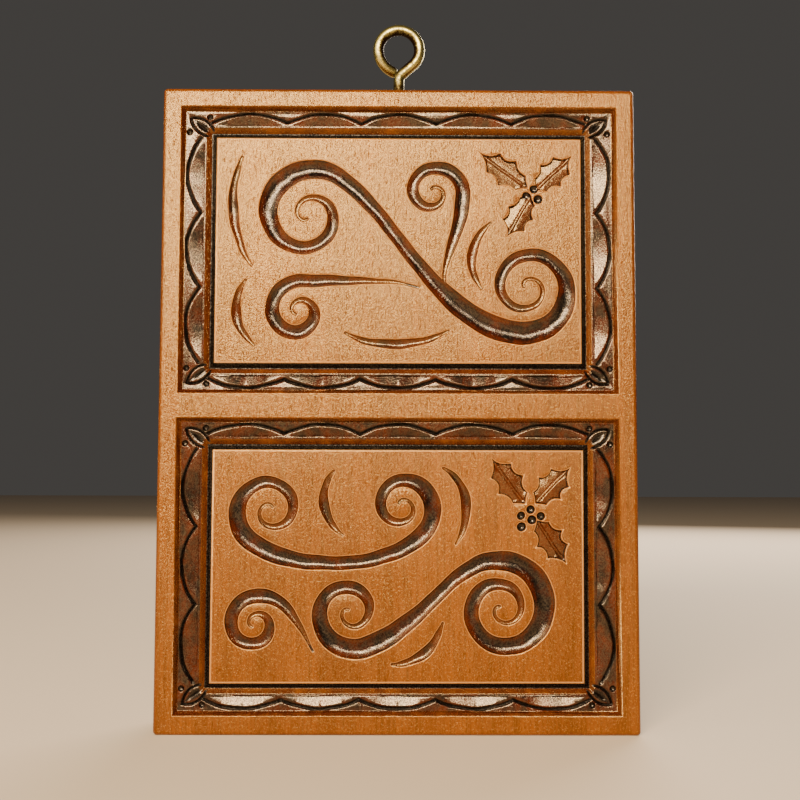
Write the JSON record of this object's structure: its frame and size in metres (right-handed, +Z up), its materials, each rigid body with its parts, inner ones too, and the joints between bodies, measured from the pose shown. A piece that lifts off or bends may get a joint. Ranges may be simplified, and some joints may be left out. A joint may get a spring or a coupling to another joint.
{
  "type": "cookie mould",
  "caption": "Upright carved wooden cookie mould with framed picture cells of holly and scrolls inside swag borders, hung from a brass screw eye in its top edge.",
  "frame": {"origin": "middle of the bottom edge, half way through the thickness", "axes": "+X to the right across the carved face, +Y towards the plain back, +Z up through the screw eye"},
  "size_m": [0.1174, 0.019, 0.1791],
  "materials": {
    "wood": "satin varnish over a dark wiped stain",
    "brass": "aged"
  },
  "bodies": {
    "root": {"mould_block": "wood", "screw_eye": "brass"}
  },
  "joints": []
}
